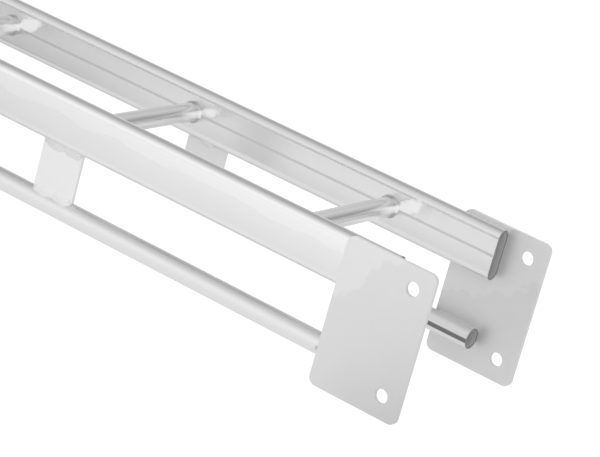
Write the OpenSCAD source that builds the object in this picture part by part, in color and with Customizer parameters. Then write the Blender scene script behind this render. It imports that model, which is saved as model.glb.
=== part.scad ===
// Cable ladder section: two trussed sides joined by round rungs, all welded.
// Millimetres, +Z up, +X along the ladder. The origin is on the floor at the
// middle of the ladder, level with the bottom edges of the four end plates.

/* [Ladder] */
// Length of the side rails, the length the section is sold in
rail_len = 3000; // [1000:250:6000]
// Width over the outer faces of the two side rails
width = 200; // [150:50:600]
// Depth from the top of a rail down to the centre of its lower chord
truss_depth = 114; // [90:2:200]

/* [Side rail] */
// Height of the flat-oval rail
rail_h = 52; // [40:1:80]
// Thickness of the flat-oval rail, measured across the ladder
rail_t = 17; // [12:0.5:25]
// Wall of the rail's tube
rail_wall = 2; // [1:0.25:3]

/* [Lower chord] */
// Outer diameter of the chord's tube
chord_d = 21.3; // [16:0.1:33.7]
// Wall of the chord's tube
chord_wall = 2; // [1:0.25:3]

/* [Rungs] */
// Distance from one rung to the next
rung_pitch = 250; // [200:50:300]
// Outer diameter of a rung
rung_d = 20; // [15:0.5:30]
// Wall of a rung's tube
rung_wall = 2; // [1:0.25:3]

/* [Web plates] */
// Length of a web plate along the ladder
web_len = 50; // [30:2:80]
// Thickness of a web plate
web_t = 4; // [2:0.5:6]
// Distance from one web plate to the next
web_pitch = 752; // [250:1:1000]
// Shift of the web plates along the ladder, to opposite ends on the two sides
web_shift = 21; // [-40:1:40]

/* [End plates] */
// Length of an end plate along the ladder
plate_len = 100; // [70:5:160]
// Height of an end plate
plate_h = 150; // [120:2:240]
// Thickness of an end plate
plate_t = 4; // [2:0.5:8]
// How far an end plate stands out past the end of its rail
plate_out = 48; // [20:1:80]
// How far an end plate stands above the top of its rail
plate_up = 2; // [0:1:10]
// Radius of an end plate's corners
plate_r = 8; // [2:1:20]
// Diameter of a bolt hole
hole_d = 14; // [9:1:18]
// Distance from a bolt hole's centre to the plate's end
hole_in = 22; // [12:1:40]
// Distance between the two bolt holes of a plate
hole_gap = 107; // [60:1:180]

/* [Hidden] */
fine = 72;
steel = [0.80, 0.81, 0.82];
zinc = [0.74, 0.75, 0.77];
// Levels above the floor
top_z = plate_h - plate_up;
rail_z = top_z - rail_h / 2;
chord_z = top_z - truss_depth;
hole_z = plate_h / 2;
// Distances from the ladder's centre plane
face_y = width / 2;
rail_y = face_y - rail_t / 2;
chord_y = face_y - chord_d / 2;
web_y = (rail_y + chord_y) / 2;
rung_span = width - 2 * rail_t;
// Places along the ladder
rungs = floor(rail_len / rung_pitch);
function rung_x(i) = (i - (rungs + 1) / 2) * rung_pitch;
webs = round(rail_len / web_pitch);
function web_x(side, i) = (i - (webs + 1) / 2) * web_pitch + side * web_shift;

// Flat-oval outline, height along Z and thickness along Y once laid along X
module oval_2d(h, t) {
    square([h - t, t], center = true);
    translate([h / 2 - t / 2, 0]) circle(d = t, $fn = fine);
    translate([t / 2 - h / 2, 0]) circle(d = t, $fn = fine);
}

// Turns a profile drawn in X and Y into a bar along X, centred on the origin
module along_x(len) {
    rotate([0, 90, 0])
        linear_extrude(height = len, center = true) children();
}

// Side rail: an open-ended flat-oval tube
module rail(side) {
    color(steel)
    translate([0, side * rail_y, rail_z])
        along_x(rail_len)
            difference() {
                oval_2d(rail_h, rail_t);
                oval_2d(rail_h - 2 * rail_wall, rail_t - 2 * rail_wall);
            }
}

// Lower chord: an open-ended round tube under the rail
module chord(side) {
    color(steel)
    translate([0, side * chord_y, chord_z])
        rotate([0, 90, 0])
            difference() {
                cylinder(d = chord_d, h = rail_len, center = true, $fn = fine);
                cylinder(d = chord_d - 2 * chord_wall, h = rail_len + 2, center = true, $fn = fine);
            }
}

// Rung: a round tube butted against the flats of both rails
module rung(i) {
    color(steel)
    translate([rung_x(i), 0, rail_z])
        rotate([90, 0, 0])
            difference() {
                cylinder(d = rung_d, h = rung_span, center = true, $fn = fine);
                cylinder(d = rung_d - 2 * rung_wall, h = rung_span + 2, center = true, $fn = fine);
            }
}

// Web plate: a flat strip on edge, coped over the chord and under the rail
module web_plate(side, i) {
    color(zinc)
    difference() {
        translate([web_x(side, i) - web_len / 2, side * web_y - web_t / 2, chord_z])
            cube([web_len, web_t, rail_z - chord_z]);
        translate([web_x(side, i), side * chord_y, chord_z])
            rotate([0, 90, 0])
                cylinder(d = chord_d, h = web_len + 2, center = true, $fn = fine);
        translate([web_x(side, i), side * rail_y, rail_z])
            along_x(web_len + 2)
                oval_2d(rail_h, rail_t);
    }
}

// Outline of an end plate with rounded corners, length along X, height along Y
module plate_2d() {
    in_x = plate_len / 2 - plate_r;
    in_y = plate_h / 2 - plate_r;
    square([plate_len, 2 * in_y], center = true);
    square([2 * in_x, plate_h], center = true);
    for (x = [-in_x, in_x], y = [-in_y, in_y])
        translate([x, y]) circle(r = plate_r, $fn = fine);
}

// End plate: laid on the outer faces of rail and chord, with two bolt holes
module end_plate(end, side) {
    mid_x = end * (rail_len / 2 + plate_out - plate_len / 2);
    hole_x = end * (rail_len / 2 + plate_out - hole_in);
    color(zinc)
    difference() {
        translate([mid_x, side * (face_y + plate_t / 2), plate_h / 2])
            rotate([90, 0, 0])
                linear_extrude(height = plate_t, center = true) plate_2d();
        for (k = [-1, 1])
            translate([hole_x, side * (face_y + plate_t / 2), hole_z + k * hole_gap / 2])
                rotate([90, 0, 0])
                    cylinder(d = hole_d, h = plate_t + 2, center = true, $fn = fine);
    }
}

rail(1);  // rail_left
rail(-1);  // rail_right
chord(1);  // chord_left
chord(-1);  // chord_right
rung(1);  // rung_1
rung(2);  // rung_2
rung(3);  // rung_3
rung(4);  // rung_4
rung(5);  // rung_5
rung(6);  // rung_6
rung(7);  // rung_7
rung(8);  // rung_8
rung(9);  // rung_9
rung(10);  // rung_10
rung(11);  // rung_11
rung(12);  // rung_12
web_plate(1, 1);  // web_plate_left_1
web_plate(1, 2);  // web_plate_left_2
web_plate(1, 3);  // web_plate_left_3
web_plate(1, 4);  // web_plate_left_4
web_plate(-1, 1);  // web_plate_right_1
web_plate(-1, 2);  // web_plate_right_2
web_plate(-1, 3);  // web_plate_right_3
web_plate(-1, 4);  // web_plate_right_4
end_plate(-1, 1);  // end_plate_left_1
end_plate(1, 1);  // end_plate_left_2
end_plate(-1, -1);  // end_plate_right_1
end_plate(1, -1);  // end_plate_right_2
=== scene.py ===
"""Cable ladder section: steel finishes, weld beads, studio and camera.

Laid out as a Blender add-on. Each operator finishes or builds one group of
like pieces of the ladder, and the last one sets up the studio.
"""

import functools
import math

import bmesh
import bpy
from bpy.props import FloatProperty, FloatVectorProperty, PointerProperty
from mathutils import Matrix, Vector, noise


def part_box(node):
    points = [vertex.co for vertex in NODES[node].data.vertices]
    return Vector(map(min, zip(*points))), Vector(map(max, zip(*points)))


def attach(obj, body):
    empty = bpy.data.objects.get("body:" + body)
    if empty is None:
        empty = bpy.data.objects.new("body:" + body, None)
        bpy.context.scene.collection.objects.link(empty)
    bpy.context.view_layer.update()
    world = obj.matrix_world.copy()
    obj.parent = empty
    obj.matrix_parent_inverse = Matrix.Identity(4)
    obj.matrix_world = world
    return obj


bl_info = {
    "name": "Cable Ladder Section",
    "version": (1, 0, 0),
    "blender": (4, 5, 0),
    "location": "View3D > Sidebar > Ladder",
    "description": "Finishes and welds a trussed cable ladder section",
    "category": "Object",
}

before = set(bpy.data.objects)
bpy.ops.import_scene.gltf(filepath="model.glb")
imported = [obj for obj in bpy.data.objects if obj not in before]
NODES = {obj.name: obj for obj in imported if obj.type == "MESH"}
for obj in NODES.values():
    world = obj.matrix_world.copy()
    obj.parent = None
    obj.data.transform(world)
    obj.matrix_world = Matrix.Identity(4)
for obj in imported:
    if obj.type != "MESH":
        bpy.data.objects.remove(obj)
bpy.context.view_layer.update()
SIDES = {"left": 1, "right": -1}


def named(prefix):
    """The CAD nodes whose names start with prefix, in order."""
    return [NODES[n] for n in sorted(NODES) if n.startswith(prefix)]


def span(node):
    """Middle and size of a CAD node's box."""
    lo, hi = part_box(node)
    return (lo + hi) / 2, hi - lo


RAIL_MID, RAIL_SIZE = span("rail_left")
CHORD_MID, CHORD_SIZE = span("chord_left")
RUNG_MID, RUNG_SIZE = span("rung_1")
WEB_MID, WEB_SIZE = span("web_plate_left_1")
RAIL_R = RAIL_SIZE.y / 2
RAIL_FLAT = RAIL_SIZE.z / 2 - RAIL_R
CHORD_R = CHORD_SIZE.y / 2
RUNG_R = RUNG_SIZE.x / 2
RUNG_PITCH = span("rung_2")[0].x - RUNG_MID.x
TUBE_WALL = 0.002
INNER_Y = RAIL_MID.y - RAIL_R
OUTER_Y = RAIL_MID.y + RAIL_R
PLATE_X = max(abs(span(plate.name)[0].x) for plate in named("end_plate_"))
PLATE_EDGE_X = PLATE_X - span("end_plate_left_1")[1].x / 2


# ---------------------------------------------------------------- settings

class SteelSettings(bpy.types.PropertyGroup):
    """Colours and surface of the bare steel."""
    tube_colour: FloatVectorProperty(
        name="Tube colour", description="Reflected colour of rails and rungs",
        subtype="COLOR", size=3, min=0, max=1, default=(0.84, 0.84, 0.84))
    chord_colour: FloatVectorProperty(
        name="Chord colour", description="Reflected colour of the lower chords",
        subtype="COLOR", size=3, min=0, max=1, default=(0.80, 0.80, 0.80))
    # Painted shade: the end plates are the same steel as the web plates, painted darker.
    shaded_plate_colour: FloatVectorProperty(
        name="Shaded end plate colour", description="Reflected colour of the drilled end plates",
        subtype="COLOR", size=3, min=0, max=1, default=(0.74, 0.74, 0.74))
    web_colour: FloatVectorProperty(
        name="Web plate colour", description="Reflected colour of the web plates",
        subtype="COLOR", size=3, min=0, max=1, default=(0.84, 0.84, 0.84))
    weld_colour: FloatVectorProperty(
        name="Weld colour", description="Reflected colour of the weld metal",
        subtype="COLOR", size=3, min=0, max=1, default=(0.84, 0.84, 0.84))
    bore_colour: FloatVectorProperty(
        name="Bore colour", description="Colour of the dull steel inside the tubes",
        subtype="COLOR", size=3, min=0, max=1, default=(0.60, 0.60, 0.60))
    # Painted light: the highlight on each rung's lit flank and weld, and its painted reflection on
    # the rail, take this colour.
    painted_light_colour: FloatVectorProperty(
        name="Painted light colour", description="Colour of the painted highlight at each rung weld and of the painted reflection beside it",
        subtype="COLOR", size=3, min=0, max=1, default=(0.98, 0.98, 0.98))
    tube_gloss: FloatProperty(
        name="Tube roughness", description="Surface roughness of the drawn tubes",
        subtype="FACTOR", min=0.05, max=0.8, default=0.24)
    chord_gloss: FloatProperty(
        name="Chord roughness", description="Surface roughness of the lower chords",
        subtype="FACTOR", min=0.05, max=0.8, default=0.40)
    plate_gloss: FloatProperty(
        name="Plate roughness", description="Surface roughness of the cut plates",
        subtype="FACTOR", min=0.05, max=0.8, default=0.44)


class WeldSettings(bpy.types.PropertyGroup):
    """Sizes of the weld beads and of the tube seam."""
    rung_leg: FloatProperty(
        name="Rung weld leg", description="Leg of the fillet round each rung end",
        subtype="DISTANCE", unit="LENGTH", min=0.001, max=0.01, default=0.0017)
    web_leg: FloatProperty(
        name="Web weld leg", description="Leg of the fillets along the web plates",
        subtype="DISTANCE", unit="LENGTH", min=0.001, max=0.01, default=0.0048)
    edge_leg: FloatProperty(
        name="Plate edge weld leg", description="Leg of the fillet up each end plate's edge",
        subtype="DISTANCE", unit="LENGTH", min=0.001, max=0.01, default=0.0026)
    ripple: FloatProperty(
        name="Ripple spacing", description="Distance between the ripples of a bead",
        subtype="DISTANCE", unit="LENGTH", min=0.0005, max=0.005, default=0.0018)
    seam_width: FloatProperty(
        name="Seam width", description="Width of the lengthwise seam inside each rail",
        subtype="DISTANCE", unit="LENGTH", min=0.001, max=0.006, default=0.0038)
    seam_height: FloatProperty(
        name="Seam height", description="How far the seam stands out of the rail",
        subtype="DISTANCE", unit="LENGTH", min=0.0001, max=0.001, default=0.00018)


class StudioSettings(bpy.types.PropertyGroup):
    """Light levels of the studio, as bare metal reflects it."""
    bright: FloatProperty(
        name="Bright side", description="Light level in front of the ladder and overhead",
        min=0, max=5, default=1.06)
    shade_high: FloatProperty(
        name="High shade", description="Share of the light left high up behind the ladder",
        subtype="FACTOR", min=0, max=1, default=0.38)
    shade_low: FloatProperty(
        name="Low shade", description="Share of the light left low behind the ladder's end",
        subtype="FACTOR", min=0, max=1, default=0.30)
    glow: FloatProperty(
        name="Floor glow", description="Light that the floor gives off, like a light table",
        min=0, max=2, default=0.64)
    side_glow: FloatProperty(
        name="Side glow", description="Extra light from the floor beside the ladder",
        min=0, max=2, default=0.29)
    pool: FloatProperty(
        name="Pool of light", description="Extra light from the floor at the front right",
        min=0, max=5, default=0.12)
    floor_colour: FloatVectorProperty(
        name="Floor colour", description="Colour of the studio floor",
        subtype="COLOR", size=3, min=0, max=1, default=(0.18, 0.18, 0.18))


def steel():
    return bpy.context.scene.ladder_steel


def weld():
    return bpy.context.scene.ladder_weld


def studio():
    return bpy.context.scene.ladder_studio


# --------------------------------------------------------------- materials

class Nodes:
    """Short words for building a node tree."""

    def __init__(self, tree):
        self.tree = tree
        self.tree.nodes.clear()

    def add(self, kind, **values):
        node = self.tree.nodes.new(kind)
        for key, value in values.items():
            setattr(node, key, value)
        return node

    def feed(self, socket, value):
        """Gives a socket a number, or the output of another node."""
        if isinstance(value, (int, float)):
            socket.default_value = value
        else:
            self.tree.links.new(value, socket)

    def math(self, operation, *values):
        node = self.add("ShaderNodeMath", operation=operation)
        for socket, value in zip(node.inputs, values):
            self.feed(socket, value)
        return node.outputs[0]

    def sum(self, *values):
        return functools.reduce(lambda a, b: self.math("ADD", a, b), values)

    def product(self, *values):
        return functools.reduce(lambda a, b: self.math("MULTIPLY", a, b), values)

    def minus(self, a, b):
        return self.math("SUBTRACT", a, b)

    def size(self, value):
        return self.math("ABSOLUTE", value)

    def length(self, a, b):
        return self.math("SQRT", self.sum(self.product(a, a), self.product(b, b)))

    def ramp(self, value, low, high, to_low=0.0, to_high=1.0, kind="SMOOTHSTEP"):
        node = self.add("ShaderNodeMapRange", interpolation_type=kind)
        self.feed(node.inputs["Value"], value)
        names = ("From Min", "From Max", "To Min", "To Max")
        for name, number in zip(names, (low, high, to_low, to_high)):
            node.inputs[name].default_value = number
        return node.outputs["Result"]

    def band(self, value, start, full, fade, end):
        """1 between full and fade, and 0 before start and after end."""
        return self.product(self.ramp(value, start, full), self.ramp(value, fade, end, 1.0, 0.0))

    def mix(self, factor, a, b, kind="RGBA"):
        node = self.add("ShaderNodeMix", data_type=kind)
        sockets = [socket for socket in node.inputs if socket.enabled]
        for socket, value in zip(sockets, (factor, a, b)):
            self.feed(socket, value)
        return [socket for socket in node.outputs if socket.enabled][0]

    def parts(self, vector):
        """The X, Y and Z of a vector."""
        node = self.add("ShaderNodeSeparateXYZ")
        self.feed(node.inputs[0], vector)
        return node.outputs

    def choose(self, factor, no, yes):
        """One shader or the other."""
        node = self.add("ShaderNodeMixShader")
        for socket, value in zip(node.inputs, (factor, no, yes)):
            self.feed(socket, value)
        return node.outputs[0]


class Surface(Nodes):
    """A material with a mottled tone, and marks painted over it.

    cloud is the scale, detail and roughness of the noise behind the mottle.
    matt is how far a mark takes the surface away from metal, if one does.
    """

    def __init__(self, name, colour, mottle, cloud, metal=1.0):
        self.mat = bpy.data.materials.new(name)
        self.mat.use_nodes = True
        super().__init__(self.mat.node_tree)
        self.out = self.add("ShaderNodeOutputMaterial")
        self.shader = self.add("ShaderNodeBsdfPrincipled")
        self.feed(self.out.inputs["Surface"], self.shader.outputs["BSDF"])
        self.place = self.add("ShaderNodeTexCoord").outputs["Object"]
        self.x, self.y, self.z = self.parts(self.place)
        self.cloud = self.noise(*cloud)
        self.tone = self.tint(colour, self.cloud, mottle)
        self.metal, self.matt = metal, None

    def noise(self, scale, detail=2.0, rough=0.5, stretch=(1, 1, 1)):
        """Noise in object space, pulled out along an axis by stretch."""
        mapping = self.add("ShaderNodeMapping")
        mapping.inputs["Scale"].default_value = stretch
        self.feed(mapping.inputs["Vector"], self.place)
        node = self.add("ShaderNodeTexNoise")
        self.feed(node.inputs["Vector"], mapping.outputs[0])
        for name, value in (("Scale", scale), ("Detail", detail), ("Roughness", rough)):
            node.inputs[name].default_value = value
        return node.outputs["Fac"]

    def spread(self, noise, low, high):
        """Noise laid out from low to high, with little of it at the ends."""
        return self.ramp(noise, 0.3, 0.7, low, high)

    def tint(self, colour, factor, amount):
        """Colour varied lighter and darker by a 0 to 1 factor."""
        node = self.add("ShaderNodeMix", data_type="RGBA")
        self.feed(node.inputs["Factor"], factor)
        node.inputs["A"].default_value = (*[c * (1 - amount) for c in colour], 1)
        node.inputs["B"].default_value = (*[min(1, c * (1 + amount)) for c in colour], 1)
        return node.outputs["Result"]

    def paint(self, where, colour, mottle, rough=0.0, matt=0.0, cloud=None):
        """Lays another colour over the surface, rougher and less like metal."""
        cloud = self.cloud if cloud is None else cloud
        self.tone = self.mix(where, self.tone, self.tint(colour, cloud, mottle))
        if rough:
            self.rough = self.sum(self.rough, self.product(where, rough))
        if matt:
            self.dull(where, matt)

    def dull(self, where, matt):
        """Takes the surface away from metal, unless another mark takes it further."""
        matt = self.product(where, matt)
        self.matt = matt if self.matt is None else self.math("MAXIMUM", self.matt, matt)

    def bump(self, height, strength, distance, normal=None):
        node = self.add("ShaderNodeBump")
        node.inputs["Strength"].default_value = strength
        node.inputs["Distance"].default_value = distance
        self.feed(node.inputs["Height"], height)
        if normal is not None:
            self.feed(node.inputs["Normal"], normal)
        return node.outputs["Normal"]

    def finish(self, normal):
        """Joins everything to the shader and gives the material."""
        metal = self.metal if self.matt is None else self.minus(1.0, self.matt)
        inputs = self.shader.inputs
        self.feed(inputs["Metallic"], metal)
        self.feed(inputs["Base Color"], self.tone)
        self.feed(inputs["Roughness"], self.rough)
        self.feed(inputs["Normal"], normal)
        return self.mat


def times(colour, share):
    """A colour made darker or lighter."""
    return [min(1.0, c * share) for c in colour]


# Noise behind the mottle of steel and of weld metal: scale, detail, roughness.
STEEL_CLOUD = (28, 4, 0.6)
WELD_CLOUD = (260, 4, 0.6)
WELD_ROUGH = (0.26, 0.38)
# How strong the mottle is, how far drawing lines are pulled out, and how much
# the roughness varies with the mottle, as a share, and with the lines.
MOTTLE = 0.02
LINE_STRETCH = 0.02
GLOSS_SPREAD = 0.08
LINE_ROUGH = 0.015


def steel_material(name, colour, gloss, along, *marks, mottle=MOTTLE, metal=1.0):
    """Steel with drawing or rolling lines along one axis and a faint mottle.

    gloss is its roughness. marks are the functions below, which paint on it
    dull bores and cut ends, a darker shoulder, and painted light and shade.
    """
    n = Surface(name, colour, mottle, STEEL_CLOUD, metal)
    stretch = [1.0, 1.0, 1.0]
    stretch["XYZ".index(along)] = LINE_STRETCH
    grain = n.noise(900, 3, stretch=stretch)
    fine = n.noise(1500)
    cloudy = n.spread(n.cloud, gloss * (1 - GLOSS_SPREAD), gloss * (1 + GLOSS_SPREAD))
    n.rough = n.sum(cloudy, n.spread(grain, -LINE_ROUGH, LINE_ROUGH))
    for mark in marks:
        mark(n)
    return n.finish(n.bump(fine, 0.03, 0.0001, n.bump(grain, 0.05, 0.0002)))


def weld_material(name, colour, *marks):
    """Weld metal, unevenly bright and finely pitted."""
    n = Surface(name, colour, 0.06, WELD_CLOUD)
    fine = n.noise(2200, 3)
    n.rough = n.spread(n.cloud, *WELD_ROUGH)
    for mark in marks:
        mark(n)
    return n.finish(n.bump(fine, 0.12, 0.0002))


def from_rung(n):
    """How far a point lies beside and above the axis of the nearest rung."""
    beside = n.math("FLOORED_MODULO", n.minus(n.x, RUNG_MID.x - RUNG_PITCH / 2), RUNG_PITCH)
    return n.minus(beside, RUNG_PITCH / 2), n.minus(n.z, RUNG_MID.z)


# A painted highlight, bright and matt, on each rung's lit flank and its weld: how
# far it is from metal, and how much rougher it makes a rung and its weld. It lies
# on the side that faces along X and a little up. It starts and is full at these
# cosines from that way, and at these distances off the rail. Its edges are ragged
# round and along the rung.
PAINTED_LIGHT_MATT = 0.95
FLANK_LIGHT_ROUGH_RUNG = 0.3
FLANK_LIGHT_ROUGH_WELD = 0.2
FLANK_LIGHT_FACING = (0.99, 0.12)
FLANK_LIGHT_SIDE = (0.88, 0.98)
FLANK_LIGHT_OFF_RAIL = (0.036, 0.012)
FLANK_LIGHT_RAGGED = 0.015
FLANK_LIGHT_RAGGED_ALONG = 0.06


def painted_flank_highlight(rough):
    """Painted highlight that runs over each rung weld and the rung's +X side."""
    def mark(n):
        beside, level = from_rung(n)
        turned = n.sum(n.product(beside, FLANK_LIGHT_FACING[0]), n.product(level, FLANK_LIGHT_FACING[1]))
        facing = n.math("DIVIDE", turned, n.length(beside, level))
        ragged = n.spread(n.noise(160, 3), -FLANK_LIGHT_RAGGED, FLANK_LIGHT_RAGGED)
        side = n.ramp(n.sum(facing, ragged), *FLANK_LIGHT_SIDE)
        across = n.sum(n.size(n.y), n.product(ragged, FLANK_LIGHT_RAGGED_ALONG))
        close = n.ramp(across, *(INNER_Y - off for off in FLANK_LIGHT_OFF_RAIL))
        # Paints the highlight: a bright matt colour on the lit flank near the rail.
        n.paint(n.product(side, close), steel().painted_light_colour, MOTTLE, rough, PAINTED_LIGHT_MATT)
    return mark


# Where the painted shade by the rail joint starts on a rung and where it is full,
# as distances off the rail, how strong it is there, and its tone and mottle.
JOINT_SHADE_OFF_RAIL = (0.024, 0.004)
JOINT_SHADE_STRENGTH = 0.8
JOINT_SHADE_TONE = 0.62
JOINT_SHADE_MOTTLE = 0.03


def painted_joint_shade(colour):
    """Rungs are painted darker towards their welds, as shade at the joint."""
    def mark(n):
        starts, full = (INNER_Y - off for off in JOINT_SHADE_OFF_RAIL)
        joint_darkening = n.ramp(n.size(n.y), starts, full, 0.0, JOINT_SHADE_STRENGTH)
        # Paints the shade by the joint into the rung's colour.
        n.paint(joint_darkening, times(colour, JOINT_SHADE_TONE), JOINT_SHADE_MOTTLE)
    return mark


# Painted reflection of each rung's lit flank, a bright matt patch inside the rail:
# its middle beside and above the rung's axis, the slope of its length, its half
# length and half height, the shares of those at which it starts to fade and ends,
# how ragged its outline is, how much smaller it is by every other rung, and how
# much rougher it makes the rail.
REFLECTION_BESIDE, REFLECTION_ABOVE = 0.0225, 0.0085
REFLECTION_SLOPE = 0.38
REFLECTION_LONG, REFLECTION_HIGH = 0.0175, 0.0095
REFLECTION_EDGE = (0.55, 1.0)
REFLECTION_RAGGED = 0.12
REFLECTION_SHRINK = 0.3
REFLECTION_ROUGH = 0.3


def painted_rung_reflection(n):
    """Where the slanted painted reflection beside each rung lies."""
    beside, level = from_rung(n)
    beside, level = n.minus(beside, REFLECTION_BESIDE), n.minus(level, REFLECTION_ABOVE)
    level = n.minus(level, n.product(beside, REFLECTION_SLOPE))
    reach = n.length(n.math("DIVIDE", beside, REFLECTION_LONG), n.math("DIVIDE", level, REFLECTION_HIGH))
    ragged = n.spread(n.noise(160, 3), -REFLECTION_RAGGED, REFLECTION_RAGGED)
    # This rises past 0.25 at one rung and falls past it at the next.
    turn = n.math("PINGPONG", n.product(n.x, 0.5 / RUNG_PITCH), 0.5)
    shrink = n.ramp(turn, 0.2, 0.3, 0.0, REFLECTION_SHRINK)
    return n.ramp(n.sum(reach, ragged, shrink), *REFLECTION_EDGE, 1.0, 0.0)


# Heights above the rail's flat between which the shoulder is darker and rougher.
SHOULDER_BAND = (0.0, 0.0012, 0.0046, 0.0066)
SHOULDER_TONE = 0.85
SHOULDER_ROUGH = 0.08
# The ragged line of painted reflection outside a rail: its height above the
# rail's middle, how ragged and how soft it is, and how much lighter the rail is
# painted above it.
LIT_TOP_ABOVE = 0.006
LIT_TOP_RAGGED = 0.004
LIT_TOP_SOFT = 0.0015
LIT_TOP_TONE = 1.045


def rail_marks(colour):
    """Painted light on a rail, and a darker, rougher shoulder inside it.

    The upper inner shoulder is darker and rougher. Inside lies a painted
    reflection of each rung; the outer face is painted a little lighter above
    a ragged line, as a painted reflection.
    """
    def mark(n):
        inner = n.math("LESS_THAN", n.size(n.y), RAIL_MID.y)
        patch = n.product(painted_rung_reflection(n), inner)
        rise = n.minus(n.z, RAIL_MID.z + RAIL_FLAT)
        darker_shoulder = n.product(n.band(rise, *SHOULDER_BAND), inner, n.minus(1.0, patch))
        n.paint(darker_shoulder, times(colour, SHOULDER_TONE), MOTTLE, SHOULDER_ROUGH)
        # Paints the reflection: the outer face lighter above a ragged line.
        uneven = n.spread(n.noise(60, 3, stretch=(0.3, 1, 1)), -LIT_TOP_RAGGED, LIT_TOP_RAGGED)
        height = n.sum(n.minus(n.z, RAIL_MID.z + LIT_TOP_ABOVE), uneven)
        above = n.product(n.ramp(height, -LIT_TOP_SOFT, LIT_TOP_SOFT), n.minus(1.0, inner))
        n.paint(above, times(colour, LIT_TOP_TONE), MOTTLE)
        # Paints the reflection of each rung's lit flank as a bright matt patch.
        n.paint(patch, steel().painted_light_colour, 0.0, REFLECTION_ROUGH, PAINTED_LIGHT_MATT)
    return mark


# Heights above a chord's axis between which a stripe of painted shade lies, how
# far from the end plate the stripe fades, and its colour.
CHORD_SHADE_BAND = (-0.0038, -0.0028, 0.0006, 0.0020)
CHORD_SHADE_FADE = 0.006
CHORD_SHADE_COLOUR = (0.2, 0.2, 0.2)


def painted_chord_shade(n):
    """A dark stripe of painted shade along each chord, low down beside the end plates."""
    stripe = n.band(n.z, *(CHORD_MID.z + height for height in CHORD_SHADE_BAND))
    beside = n.ramp(n.size(n.x), PLATE_EDGE_X - CHORD_SHADE_FADE, PLATE_EDGE_X)
    # Paints shade into the chord's colour beside the end plate.
    n.paint(n.product(stripe, beside), CHORD_SHADE_COLOUR, MOTTLE)


# The ragged line of painted light and shade across the end plates: its slope
# along X and its height at the plate's middle on each side, how ragged and how
# soft it is, and how much lighter a plate is painted above it. Below it a plate
# is painted a little darker.
PLATE_LIGHT_RIGHT = (1.1, 0.142)
PLATE_LIGHT_LEFT = (0.4, 0.085)
PLATE_LIGHT_RAGGED = 0.010
PLATE_LIGHT_SOFT = 0.002
PLATE_LIGHT_LIFT = 0.045
PLATE_SHADE_DROP = 0.0135


def painted_plate_light(n):
    """End plates are painted lighter above a ragged line and darker below it, as light and shade;
    the line differs by side.
    """
    beyond = n.minus(n.size(n.x), PLATE_X)
    right = n.sum(n.product(beyond, PLATE_LIGHT_RIGHT[0]), PLATE_LIGHT_RIGHT[1])
    left = n.sum(n.product(beyond, PLATE_LIGHT_LEFT[0]), PLATE_LIGHT_LEFT[1])
    line = n.mix(n.math("GREATER_THAN", n.y, 0.0), right, left, "FLOAT")
    above = n.sum(n.minus(n.z, line), n.spread(n.noise(45, 4), -PLATE_LIGHT_RAGGED, PLATE_LIGHT_RAGGED))
    scaled = n.add("ShaderNodeVectorMath", operation="SCALE")
    n.feed(scaled.inputs[0], n.tone)
    # Painted light above the line and painted shade below it.
    lift = n.ramp(above, -PLATE_LIGHT_SOFT, PLATE_LIGHT_SOFT, 1.0 - PLATE_SHADE_DROP, 1.0 + PLATE_LIGHT_LIFT)
    n.feed(scaled.inputs["Scale"], lift)
    n.tone = scaled.outputs[0]


# Steel inside a tube and at its cut ends. The margins are how far outside the
# bore, and how far in from the end, a surface still counts as one of those.
BORE_MARGIN = 0.0002
CUT_MARGIN = 0.0003
BORE_ROUGH = 0.6
BORE_MATT = 0.9
BORE_CLOUD = (90, 4, 0.6)
BORE_MOTTLE, CUT_MOTTLE = 0.12, 0.05
CUT_COLOUR = (0.25, 0.25, 0.25)


def tube_ends(y, z, flat, radius):
    """The dull inside of a tube along X, and its dark cut ends.

    y and z are the tube's middle, flat is half the height of its flats, and
    radius is that of its inside.
    """
    def mark(n):
        off_z = n.math("MAXIMUM", n.minus(n.size(n.minus(n.z, z)), flat), 0.0)
        inside = n.math("LESS_THAN", n.length(n.minus(n.y, y), off_z), radius + BORE_MARGIN)
        cut = n.math("GREATER_THAN", n.size(n.x), RAIL_SIZE.x / 2 - CUT_MARGIN)
        scale = n.noise(*BORE_CLOUD)
        n.paint(inside, steel().bore_colour, BORE_MOTTLE, cloud=scale)
        n.paint(cut, CUT_COLOUR, CUT_MOTTLE, cloud=scale)
        dark = n.math("MAXIMUM", inside, cut)
        n.rough = n.mix(dark, n.rough, BORE_ROUGH, "FLOAT")
        n.dull(dark, BORE_MATT)
    return mark


def dress(obj, material):
    """Puts one material on every slot of a piece."""
    if not obj.data.materials:
        obj.data.materials.append(material)
    for slot in obj.material_slots:
        slot.material = material


# ------------------------------------------------------------ mesh helpers

def new_piece(name, bm, material):
    """Turns a bmesh into a smooth piece that rides on the ladder."""
    bmesh.ops.recalc_face_normals(bm, faces=bm.faces)
    mesh = bpy.data.meshes.new(name)
    bm.to_mesh(mesh)
    bm.free()
    for face in mesh.polygons:
        face.use_smooth = True
    obj = bpy.data.objects.new(name, mesh)
    bpy.context.scene.collection.objects.link(obj)
    mesh.materials.append(material)
    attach(obj, "root")


def neighbours(rings, closed):
    """Each ring with the next one."""
    return zip(rings, rings[1:] + rings[:1] if closed else rings[1:])


def skin(bm, rings, closed=False):
    """Joins rings of points into one body, with lids unless it closes on itself."""
    for a, b in neighbours(rings, closed):
        for j in range(len(a)):
            k = (j + 1) % len(a)
            bm.faces.new((a[j], a[k], b[k], b[j]))
    if not closed:
        bm.faces.new(rings[0][::-1])
        bm.faces.new(rings[-1])


# Points across a bead's crown, how deep its toes and its root are sunk in the
# steel, how much its size follows the ripples and drifts, how much higher the
# crown is on a ripple, and the size between two lobes and what a lobe adds.
CROWN_POINTS = 8
TOE_SINK = 0.00012
ROOT_SINK = 0.0005
RIPPLE_SIZE = 0.03
DRIFT_SIZE = 0.22
RIPPLE_CROWN = 0.05
LOBE_LOW, LOBE_SWELL = 0.72, 0.4


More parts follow.
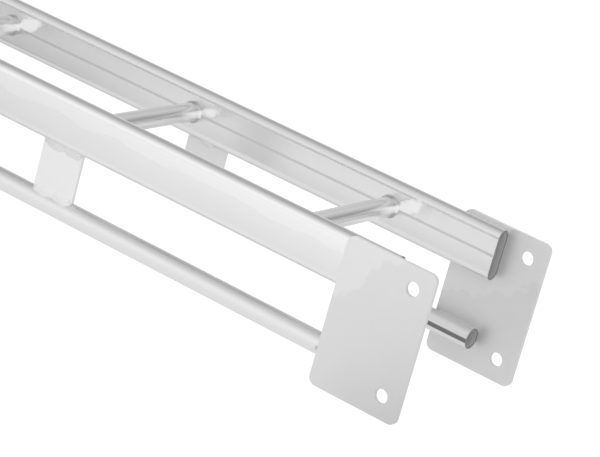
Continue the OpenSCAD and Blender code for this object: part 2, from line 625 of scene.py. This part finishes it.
def lay_bead(bm, count, gap, section, seed, closed=False, lobes=0,
             bulge=0.12, taper=0.0045, waves=1.0):
    """Lays a rippled weld bead through count stations, gap apart.

    section(i, grow) gives the root, the toe on one surface with its normal,
    and the toe on the other surface with its normal. The bead swells once for
    each of its lobes, tapers over the length taper at both ends unless it is
    closed, bulges by a share of its depth, and ripples as strongly as waves.
    """
    pitch = weld().ripple
    length = gap * (count - 1)
    rings = []
    for i in range(count):
        run = i * gap
        wave = waves * math.sin(run / pitch * 2 * math.pi)
        turn = 2 * math.pi * i / count
        where = (2.2 * math.cos(turn), 2.2 * math.sin(turn)) if closed else (run * 110, 0.0)
        drift = noise.noise(Vector((where[0] + seed, where[1] + seed * 1.7, 0.3)))
        grow = 1 + RIPPLE_SIZE * wave + DRIFT_SIZE * drift
        if lobes:
            stroke = abs(math.sin(math.pi * lobes * (run / length) ** 1.15))
            grow *= LOBE_LOW + LOBE_SWELL * stroke ** 0.8
        if not closed:
            grow *= math.sqrt(min(1.0, max(0.03, min(run, length - run) / taper)))
        root, toe_a, normal_a, toe_b, normal_b = section(i, grow)
        toe_a, toe_b = toe_a - normal_a * TOE_SINK, toe_b - normal_b * TOE_SINK
        middle = (toe_a + toe_b) / 2
        crown = middle + (middle - root) * (2 * bulge + RIPPLE_CROWN * wave)
        ring = []
        for k in range(CROWN_POINTS):
            t = k / (CROWN_POINTS - 1)
            ring.append(toe_a * (1 - t) ** 2 + crown * 2 * t * (1 - t) + toe_b * t ** 2)
        ring.append((toe_b + root) / 2 - normal_b * ROOT_SINK)
        ring.append(root - (normal_a + normal_b) * ROOT_SINK)
        ring.append((toe_a + root) / 2 - normal_a * ROOT_SINK)
        rings.append([bm.verts.new(co) for co in ring])
    skin(bm, rings, closed)
    for a, b in neighbours(rings, closed):
        for toe in (0, CROWN_POINTS - 1):
            bm.edges.get((a[toe], b[toe])).smooth = False


STATION_GAP = 0.0005


def stations(x0, x1):
    """How many stations a bead along X has, and their exact spacing."""
    count = max(12, round((x1 - x0) / STATION_GAP))
    return count, (x1 - x0) / (count - 1)


def web_bead(bm, x0, x1, way, face, middle, radius, lift, leg, wash=1.0, **how):
    """Bead along X between a web plate and the tube above or below it.

    way is the ladder's side, face is 1 outside and -1 inside the ladder, and
    lift is 1 for a bead on top of the tube and -1 for one under it. wash is how
    much further the bead runs out on the plate than on the tube.
    """
    plate_y = WEB_MID.y + face * WEB_SIZE.y / 2
    start = math.asin(max(-1, min(1, face * (plate_y - middle.y) / radius)))
    count, gap = stations(x0, x1)

    def on_tube(x, angle):
        out = Vector((0, way * face * math.sin(angle), lift * math.cos(angle)))
        return Vector((x, way * middle.y, middle.z)) + out * radius, out

    def section(i, grow):
        x = x0 + i * gap
        root, _ = on_tube(x, start)
        toe_b, normal_b = on_tube(x, start + leg * grow / radius)
        toe_a = root + Vector((0, 0, lift * leg * wash * grow))
        return root, toe_a, Vector((0, way * face, 0)), toe_b, normal_b

    lay_bead(bm, count, gap, section, **how)


# How far up the tube from the line where it touches the plate the bead in that
# groove has its root and its toe, in radians, how much the toe moves out as the
# bead grows, and how far its toe on the plate is above the one on the tube.
GROOVE_ROOT = 0.45
GROOVE_TOE, GROOVE_GROWTH = 0.5, 0.32
GROOVE_LEAN = 0.0008


def groove_bead(bm, x0, x1, way, middle, radius, lift, seed):
    """Bead along X in the groove between a tube and the end plate it lies against."""
    count, gap = stations(x0, x1)
    wall = way * (middle.y + radius)

    def section(i, grow):
        x = x0 + i * gap
        angle = GROOVE_TOE + GROOVE_GROWTH * grow
        normal_b = Vector((0, way * math.cos(angle), lift * math.sin(angle)))
        toe_b = Vector((x, way * middle.y, middle.z)) + normal_b * radius
        toe_a = Vector((x, wall, toe_b.z + lift * GROOVE_LEAN * grow))
        root = Vector((x, wall, middle.z + lift * radius * math.sin(GROOVE_ROOT)))
        return root, toe_a, Vector((0, -way, 0)), toe_b, normal_b

    lay_bead(bm, count, gap, section, seed, bulge=0.03)


MERGE_GAP = 0.00001
BEVEL_ANGLE = math.radians(50)


def soften(obj, width):
    """Takes the sharp edges off a cut plate."""
    merge = obj.modifiers.new("merge", "WELD")
    merge.merge_threshold = MERGE_GAP
    bevel = obj.modifiers.new("edges", "BEVEL")
    bevel.width = width
    bevel.segments = 2
    bevel.limit_method = "ANGLE"
    bevel.angle_limit = BEVEL_ANGLE
    bevel.harden_normals = False
    obj.modifiers.new("shading", "WEIGHTED_NORMAL").keep_sharp = False


# --------------------------------------------------------------- operators

# Painted light and shade: how much lighter the left rail and darker the right rail is painted.
RAIL_LIGHT_CONTRAST = 0.03
# The seam's tone and how much rougher than the rail it is, its stations, how
# far it stops short of the rail's two ends together, how much it wanders up and
# down and varies in height, and how deep its edges and its back lie.
SEAM_TONE = 0.84
SEAM_ROUGHER = 0.16
SEAM_STATIONS = 601
SEAM_SHORT = 0.0004
SEAM_WANDER = 0.00025
SEAM_UNEVEN = 0.25
SEAM_SINK = 0.00004
SEAM_BACK = 0.0004
# How metallic and how mottled the web plates and end plates are, and how wide
# their softened edges are.
PLATE_METAL = 0.5
PLATE_MOTTLE = 0.035
WEB_BEVEL, END_BEVEL = 0.0004, 0.0005
# The tone of a rung's weld, its stations, and how many legs it runs out along
# the rung, with how much further it does on top.
RUNG_WELD_TONE = 0.62
RUNG_STATIONS = 128
RUNG_RUN, RUNG_RUN_TOP = 1.3, 1.2
# The tone of the web plates' beads, how far they stop short of the plate's
# edges, and half the length of the short beads inside.
WEB_WELD_TONE = 0.94
WEB_SHORT = 0.0005
WEB_INSIDE = 0.009
# How far the grooves' beads stop short of the plate's edge and the rail's end.
GROOVE_SHORT_EDGE, GROOVE_SHORT_END = 0.001, 0.0008
EDGE_STATIONS = 71


class LADDER_OT_rails(bpy.types.Operator):
    """Finish the flat-oval side rails inside and out"""
    bl_idname = "ladder.rails"
    bl_label = "Side rails"

    def execute(self, context):
        s = steel()
        for side, way in SIDES.items():
            # The two rails are painted lighter and darker copies of one steel.
            colour = times(s.tube_colour, 1 + RAIL_LIGHT_CONTRAST * way)
            ends = tube_ends(way * RAIL_MID.y, RAIL_MID.z, RAIL_FLAT, RAIL_R - TUBE_WALL)
            marks = rail_marks(colour), ends
            mat = steel_material(f"rail_steel_{side}", colour, s.tube_gloss, "X", *marks)
            dress(NODES[f"rail_{side}"], mat)
        return {"FINISHED"}


class LADDER_OT_rail_seams(bpy.types.Operator):
    """Add the lengthwise seam on the inner face of each rail"""
    bl_idname = "ladder.rail_seams"
    bl_label = "Rail seams"

    def execute(self, context):
        s = steel()
        colour, gloss = times(s.tube_colour, SEAM_TONE), s.tube_gloss + SEAM_ROUGHER
        mat = steel_material("seam_steel", colour, gloss, "X")
        wide, high = weld().seam_width / 2, weld().seam_height
        back = INNER_Y + SEAM_BACK
        for side, way in SIDES.items():
            bm = bmesh.new()
            rings = []
            for i in range(SEAM_STATIONS):
                x = (i / (SEAM_STATIONS - 1) - 0.5) * (RAIL_SIZE.x - SEAM_SHORT)
                wander = noise.noise(Vector((x * 3, way * 5.0, 0.5)))
                uneven = noise.noise(Vector((x * 14, way * 3.0, 2.5)))
                level = RAIL_MID.z + SEAM_WANDER * wander
                tall = high * (1 + SEAM_UNEVEN * uneven)
                ring = []
                for k in range(9):
                    t = k / 4 - 1
                    rise = tall * (1 + math.cos(math.pi * t)) / 2 - SEAM_SINK
                    ring.append((x, way * (INNER_Y - rise), level + wide * t))
                ring += [(x, way * back, level + wide * 0.9), (x, way * back, level - wide * 0.9)]
                rings.append([bm.verts.new(co) for co in ring])
            skin(bm, rings)
            new_piece(f"rail_seam_{side}", bm, mat)
        return {"FINISHED"}


class LADDER_OT_chords(bpy.types.Operator):
    """Finish the round lower chords inside and out"""
    bl_idname = "ladder.chords"
    bl_label = "Lower chords"

    def execute(self, context):
        s = steel()
        for side, way in SIDES.items():
            ends = tube_ends(way * CHORD_MID.y, CHORD_MID.z, 0.0, CHORD_R - TUBE_WALL)
            # The chords carry a stripe of painted shade beside the end plates.
            marks = painted_chord_shade, ends
            mat = steel_material(f"chord_steel_{side}", s.chord_colour, s.chord_gloss, "X", *marks)
            dress(NODES[f"chord_{side}"], mat)
        return {"FINISHED"}


class LADDER_OT_rungs(bpy.types.Operator):
    """Finish the round rungs"""
    bl_idname = "ladder.rungs"
    bl_label = "Rungs"

    def execute(self, context):
        s = steel()
        # The rungs carry painted shade by their welds and a painted highlight on their lit flank.
        marks = painted_joint_shade(s.tube_colour), painted_flank_highlight(FLANK_LIGHT_ROUGH_RUNG)
        mat = steel_material("rung_steel", s.tube_colour, s.tube_gloss, "Y", *marks)
        for obj in named("rung_"):
            dress(obj, mat)
        return {"FINISHED"}


class LADDER_OT_web_plates(bpy.types.Operator):
    """Finish the web plates between rail and chord"""
    bl_idname = "ladder.web_plates"
    bl_label = "Web plates"

    def execute(self, context):
        s = steel()
        mat = steel_material("web_plate_steel", s.web_colour, s.plate_gloss, "Z",
                             mottle=PLATE_MOTTLE, metal=PLATE_METAL)
        for obj in named("web_plate_"):
            dress(obj, mat)
            soften(obj, WEB_BEVEL)
        return {"FINISHED"}


class LADDER_OT_end_plates(bpy.types.Operator):
    """Finish the drilled end plates"""
    bl_idname = "ladder.end_plates"
    bl_label = "End plates"

    def execute(self, context):
        s = steel()
        # The end plates carry a darker, shaded colour, and painted light and shade above and below
        # a ragged line.
        mat = steel_material("end_plate_steel", s.shaded_plate_colour, s.plate_gloss, "Z", painted_plate_light,
                             mottle=PLATE_MOTTLE, metal=PLATE_METAL)
        for obj in named("end_plate_"):
            dress(obj, mat)
            soften(obj, END_BEVEL)
        return {"FINISHED"}


class LADDER_OT_rung_welds(bpy.types.Operator):
    """Weld a bead round both ends of every rung"""
    bl_idname = "ladder.rung_welds"
    bl_label = "Rung welds"

    def execute(self, context):
        colour = times(steel().weld_colour, RUNG_WELD_TONE)
        # The rung welds carry the painted highlight on their lit flank.
        mat = weld_material("rung_weld_metal", colour, painted_flank_highlight(FLANK_LIGHT_ROUGH_WELD))
        leg = weld().rung_leg
        gap = 2 * math.pi * RUNG_R / RUNG_STATIONS
        for side, way in SIDES.items():
            bm = bmesh.new()
            inward = Vector((0, -way, 0))
            for k, rung in enumerate(named("rung_")):
                mid, _ = span(rung.name)
                centre = Vector((mid.x, way * INNER_Y, mid.z))

                def section(i, grow):
                    turn = 2 * math.pi * i / RUNG_STATIONS
                    out = Vector((math.cos(turn), 0, math.sin(turn)))
                    root = centre + out * RUNG_R
                    reach = leg * (RUNG_RUN + RUNG_RUN_TOP * max(0, math.sin(turn)) ** 2)
                    return root, root + out * leg * grow, inward, root + inward * reach * grow, out

                seed = k * 7.3 + way
                lay_bead(bm, RUNG_STATIONS, gap, section, seed, closed=True, waves=0.3)
            new_piece(f"rung_welds_{side}", bm, mat)
        return {"FINISHED"}


class LADDER_OT_web_welds(bpy.types.Operator):
    """Weld the web plates to the rail and the chord"""
    bl_idname = "ladder.web_welds"
    bl_label = "Web plate welds"

    def execute(self, context):
        mat = weld_material("web_weld_metal", times(steel().weld_colour, WEB_WELD_TONE))
        leg = weld().web_leg
        rail = Vector((0, RAIL_MID.y, RAIL_MID.z - RAIL_FLAT)), RAIL_R, -1
        chord = CHORD_MID, CHORD_R, 1
        for side, way in SIDES.items():
            bm = bmesh.new()
            for k, plate in enumerate(named(f"web_plate_{side}_")):
                mid, size = span(plate.name)
                half = size.x / 2 - WEB_SHORT
                x0, x1 = mid.x - half, mid.x + half
                seed = 3.1 * k + 11 * way
                web_bead(bm, x0, x1, way, 1, *rail, leg, wash=1.45,
                         seed=seed, lobes=2, bulge=-0.03, taper=0.0015)
                web_bead(bm, x0, x1, way, 1, *chord, leg * 1.25,
                         seed=seed + 2, lobes=2, bulge=-0.1)
                x0, x1 = mid.x - WEB_INSIDE, mid.x + WEB_INSIDE
                web_bead(bm, x0, x1, way, -1, *rail, leg * 0.8, seed=seed + 4)
                web_bead(bm, x0, x1, way, -1, *chord, leg * 0.8, seed=seed + 5)
            new_piece(f"web_welds_{side}", bm, mat)
        return {"FINISHED"}


class LADDER_OT_end_welds(bpy.types.Operator):
    """Weld the end plates to the rails and chords"""
    bl_idname = "ladder.end_welds"
    bl_label = "End plate welds"

    def execute(self, context):
        mat = weld_material("end_weld_metal", steel().weld_colour)
        leg = weld().edge_leg
        grooves = (
            (Vector((0, RAIL_MID.y, RAIL_MID.z + RAIL_FLAT)), RAIL_R, 1),
            (Vector((0, RAIL_MID.y, RAIL_MID.z - RAIL_FLAT)), RAIL_R, -1),
            (CHORD_MID, CHORD_R, 1),
            (CHORD_MID, CHORD_R, -1),
        )
        gap = 2 * RAIL_FLAT / (EDGE_STATIONS - 1)
        for side, way in SIDES.items():
            for n, end in ((1, -1), (2, 1)):
                mid, size = span(f"end_plate_{side}_{n}")
                edge = mid.x - end * size.x / 2
                tip = end * RAIL_SIZE.x / 2
                x0, x1 = sorted((edge + end * GROOVE_SHORT_EDGE, tip - end * GROOVE_SHORT_END))
                bm = bmesh.new()
                seed = 5.7 * n + 13 * way
                for k, groove in enumerate(grooves):
                    groove_bead(bm, x0, x1, way, *groove, seed=seed + k)
                out, along = Vector((0, way, 0)), Vector((-end, 0, 0))

                def section(i, grow):
                    root = Vector((edge, way * OUTER_Y, RAIL_MID.z - RAIL_FLAT + i * gap))
                    return root, root + along * leg * grow, out, root + out * leg * grow, along

                lay_bead(bm, EDGE_STATIONS, gap, section, seed + 4)
                new_piece(f"end_welds_{side}_{n}", bm, mat)
        return {"FINISHED"}


# What the camera itself sees of the floor and the backdrop, for plain white.
WHITE = 1.1
FLOOR_DROP = 0.0005
# Where the floor's extra glow beside the ladder starts and is full, as -Y.
SIDE_GLOW_FROM = (0.36, 0.465)
# Bands along the ladder with more or less glow: the middle in Y, the distance
# from it at which the band starts to fade and at which it ends, and the change.
GLOW_BANDS = (
    (0.0, 0.22, 0.31, 0.15),
    (0.0, 0.13, 0.20, -0.07),
    (0.0, 0.05, 0.11, -0.05),
    (0.165, 0.03, 0.075, -0.2),
    (-0.125, 0.02, 0.06, 0.03),
)
# Towards the left end the glow falls to this share between these X, and behind
# the ladder it changes by this between these Y.
DIM_X, DIM_SHARE = (0.40, 1.10), 0.78
DIM_Y, DIM_CHANGE = (0.15, 0.40), -0.14
# Shaded ovals on the floor: X, Y, half length, half width and the share left.
FLOOR_SHADES = ((1.63, -0.20, 0.24, 0.25, 0.62), (0.62, -0.12, 0.38, 0.17, 0.5))
# The pool of light at the front right: its middle, and where it fades and ends.
POOL = (2.1, -1.0, 0.0)
POOL_FADE = (0.2, 0.9)
# The share of light left by the faint shade overhead, and the rise in height
# over which each shade in the sky comes in.
OVERHEAD_LEFT = 0.92
SHADE_RISE = 0.25
# The shade in front of the ladder: its way, the angles at which it starts and
# is full, and the share of light left.
FRONT_SHADE = (0.56, -0.81, 0.14)
FRONT_ANGLES = (26, 9)
FRONT_LEFT = 0.42
CAMERA_PLACE = (2.661, -2.2273, 0.963)
CAMERA_TURN = (30.781, 18.562, 15.593)
CAMERA_LENS = 170.786


class LADDER_OT_stage(bpy.types.Operator):
    """Set up the floor, the soft studio light and the camera"""
    bl_idname = "ladder.stage"
    bl_label = "Studio"

    def execute(self, context):
        self.floor()
        self.light()
        self.camera()
        return {"FINISHED"}

    def floor(self):
        """A grey floor that glows softly, and looks plain white to the camera."""
        bm = bmesh.new()
        bmesh.ops.create_grid(bm, x_segments=2, y_segments=2, size=40)
        mesh = bpy.data.meshes.new("studio_floor")
        bm.to_mesh(mesh)
        bm.free()
        obj = bpy.data.objects.new("studio_floor", mesh)
        obj.location.z = -FLOOR_DROP
        bpy.context.scene.collection.objects.link(obj)
        n = Surface("studio_floor", studio().floor_colour, 0.005, (3, 2))
        inputs = n.shader.inputs
        n.feed(inputs["Base Color"], n.tone)
        inputs["Roughness"].default_value = 0.9
        inputs["Specular IOR Level"].default_value = 0.0
        inputs["Emission Color"].default_value = (1, 1, 1, 1)

        glow = n.ramp(n.product(n.y, -1.0), *SIDE_GLOW_FROM, 0.0, studio().side_glow)
        glow = n.sum(glow, studio().glow)
        for middle, fade, end, change in GLOW_BANDS:
            glow = n.sum(glow, n.ramp(n.size(n.minus(n.y, middle)), fade, end, change, 0.0))
        glow = n.product(glow, n.ramp(n.x, *DIM_X, DIM_SHARE, 1.0))
        glow = n.sum(glow, n.ramp(n.y, *DIM_Y, 0.0, DIM_CHANGE))
        for x, y, long, wide, left in FLOOR_SHADES:
            off_x = n.math("DIVIDE", n.minus(n.x, x), long)
            off_y = n.math("DIVIDE", n.minus(n.y, y), wide)
            glow = n.product(glow, n.ramp(n.length(off_x, off_y), 0.4, 1.0, left, 1.0))
        off = n.add("ShaderNodeVectorMath", operation="DISTANCE")
        n.feed(off.inputs[0], n.place)
        off.inputs[1].default_value = POOL
        glow = n.sum(glow, n.ramp(off.outputs["Value"], *POOL_FADE, studio().pool, 0.0))
        n.feed(inputs["Emission Strength"], glow)

        seen = n.add("ShaderNodeEmission")
        seen.inputs["Strength"].default_value = WHITE
        by_camera = n.add("ShaderNodeLightPath").outputs["Is Camera Ray"]
        look = n.choose(by_camera, n.shader.outputs["BSDF"], seen.outputs[0])
        n.feed(n.out.inputs["Surface"], look)
        mesh.materials.append(n.mat)

    def light(self):
        """Soft even light, which bare metal reflects with darker parts in it."""
        world = bpy.data.worlds.new("studio_light")
        bpy.context.scene.world = world
        world.use_nodes = True
        n = Nodes(world.node_tree)
        way = n.add("ShaderNodeTexCoord").outputs["Generated"]
        up = n.parts(way)["Z"]

        def towards(centre):
            node = n.add("ShaderNodeVectorMath", operation="DOT_PRODUCT")
            node.inputs[1].default_value = Vector(centre).normalized()
            n.feed(node.inputs[0], way)
            return node.outputs["Value"]

        def background(strength):
            node = n.add("ShaderNodeBackground")
            node.inputs["Color"].default_value = (1, 1, 1, 1)
            n.feed(node.inputs["Strength"], strength)
            return node.outputs[0]

        # The way to each shade, its reach in degrees, the height from which it
        # shows, and the share of light left.
        shades = (
            ((-0.49, 0.40, 0.775), 80, 0.0, studio().shade_high),
            ((0.49, 0.81, 0.32), 40, -0.13, studio().shade_low),
            ((-0.486, -0.383, 0.785), 36, -0.5, OVERHEAD_LEFT),
        )
        level = studio().bright
        for centre, reach, low, left in shades:
            angle = n.math("ARCCOSINE", towards(centre))
            near = n.ramp(angle, 0, math.radians(reach), 1, 0)
            shade = n.product(near, n.ramp(up, low, low + SHADE_RISE))
            level = n.product(n.ramp(shade, 0, 1, 1, left, kind="LINEAR"), level)
        starts, full = (math.cos(math.radians(angle)) for angle in FRONT_ANGLES)
        level = n.product(n.ramp(towards(FRONT_SHADE), starts, full, 1, FRONT_LEFT), level)

        path = n.add("ShaderNodeLightPath").outputs
        sky = n.choose(path["Is Glossy Ray"], background(studio().bright), background(level))
        sky = n.choose(path["Is Camera Ray"], sky, background(WHITE))
        n.feed(n.add("ShaderNodeOutputWorld").inputs["Surface"], sky)
        view = bpy.context.scene.view_settings
        view.view_transform = "Standard"
        view.look = "None"
        view.exposure = 0.0
        view.gamma = 1.0

    def camera(self):
        """A long lens, in front of the ladder's right side and above it."""
        yaw, pitch, roll = (math.radians(a) for a in CAMERA_TURN)
        flat = math.cos(pitch)
        back = Vector((math.sin(yaw) * flat, -math.cos(yaw) * flat, math.sin(pitch)))
        level = Vector((math.cos(yaw), math.sin(yaw), 0))
        up = back.cross(level)
        right = level * math.cos(roll) + up * math.sin(roll)
        up = up * math.cos(roll) - level * math.sin(roll)
        data = bpy.data.cameras.new("camera")
        data.sensor_width = 36
        data.lens = CAMERA_LENS
        data.clip_start, data.clip_end = 0.05, 200
        cam = bpy.data.objects.new("camera", data)
        bpy.context.scene.collection.objects.link(cam)
        place = Matrix((right, up, back)).transposed().to_4x4()
        place.translation = CAMERA_PLACE
        cam.matrix_world = place
        bpy.context.scene.camera = cam


class LADDER_PT_sidebar(bpy.types.Panel):
    """The ladder's settings and pieces"""
    bl_label = "Cable ladder"
    bl_idname = "LADDER_PT_sidebar"
    bl_space_type = "VIEW_3D"
    bl_region_type = "UI"
    bl_category = "Ladder"

    def draw(self, context):
        for group in (steel(), weld(), studio()):
            box = self.layout.box()
            for key in group.__annotations__:
                box.prop(group, key)
        for operator in PIECES:
            self.layout.operator(operator.bl_idname)


PIECES = (
    LADDER_OT_rails,
    LADDER_OT_rail_seams,
    LADDER_OT_chords,
    LADDER_OT_rungs,
    LADDER_OT_web_plates,
    LADDER_OT_end_plates,
    LADDER_OT_rung_welds,
    LADDER_OT_web_welds,
    LADDER_OT_end_welds,
    LADDER_OT_stage,
)
CLASSES = (SteelSettings, WeldSettings, StudioSettings, *PIECES, LADDER_PT_sidebar)


def register():
    for cls in CLASSES:
        bpy.utils.register_class(cls)
    bpy.types.Scene.ladder_steel = PointerProperty(type=SteelSettings)
    bpy.types.Scene.ladder_weld = PointerProperty(type=WeldSettings)
    bpy.types.Scene.ladder_studio = PointerProperty(type=StudioSettings)


def unregister():
    del bpy.types.Scene.ladder_steel
    del bpy.types.Scene.ladder_weld
    del bpy.types.Scene.ladder_studio
    for cls in reversed(CLASSES):
        bpy.utils.unregister_class(cls)


def main():
    register()
    for operator in PIECES:
        group, name = operator.bl_idname.split(".")
        getattr(getattr(bpy.ops, group), name)()


if __name__ == "__main__":
    main()
